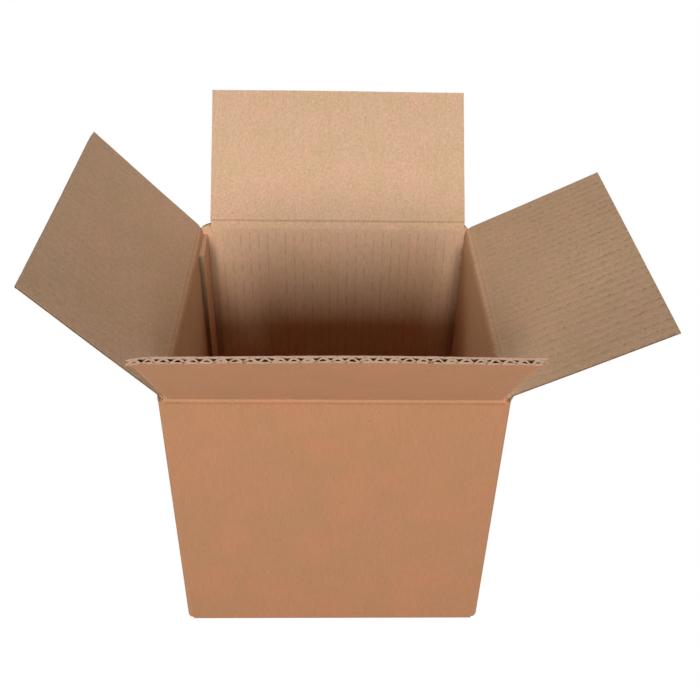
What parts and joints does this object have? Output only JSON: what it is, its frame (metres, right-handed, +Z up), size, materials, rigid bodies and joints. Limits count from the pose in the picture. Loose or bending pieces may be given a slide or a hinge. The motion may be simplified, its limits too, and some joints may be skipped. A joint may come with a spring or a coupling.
{
  "type": "corrugated shipping box",
  "caption": "Corrugated cardboard shipping box with its four top flaps open, for packing, closing and sending goods.",
  "frame": {"origin": "middle of the carton's base, on the surface it stands on", "axes": "+Z up; the front wall faces -Y and the left wall faces -X; the glue tab is at the back left corner"},
  "size_m": [0.4193, 0.3911, 0.3306],
  "materials": {
    "kraft_board": "matte unbleached kraft"
  },
  "bodies": {
    "box": {"box_body": "kraft_board"},
    "front_flap": {"flap_front": "kraft_board"},
    "back_flap": {"flap_back": "kraft_board"},
    "left_flap": {"flap_left": "kraft_board"},
    "right_flap": {"flap_right": "kraft_board"}
  },
  "joints": [
    {"name": "front_flap_fold", "type": "hinge", "parent": "box", "child": "front_flap", "pos_m": [0, -0.1185, 0.238], "axis": [-1, 0, 0], "range_deg": [-130, 130]},
    {"name": "back_flap_fold", "type": "hinge", "parent": "box", "child": "back_flap", "pos_m": [0, 0.1185, 0.238], "axis": [1, 0, 0], "range_deg": [-128, 132]},
    {"name": "left_flap_fold", "type": "hinge", "parent": "box", "child": "left_flap", "pos_m": [-0.1185, 0, 0.2337], "axis": [0, 1, 0], "range_deg": [-128, 132]},
    {"name": "right_flap_fold", "type": "hinge", "parent": "box", "child": "right_flap", "pos_m": [0.1185, 0, 0.2337], "axis": [0, -1, 0], "range_deg": [-108, 152]}
  ]
}
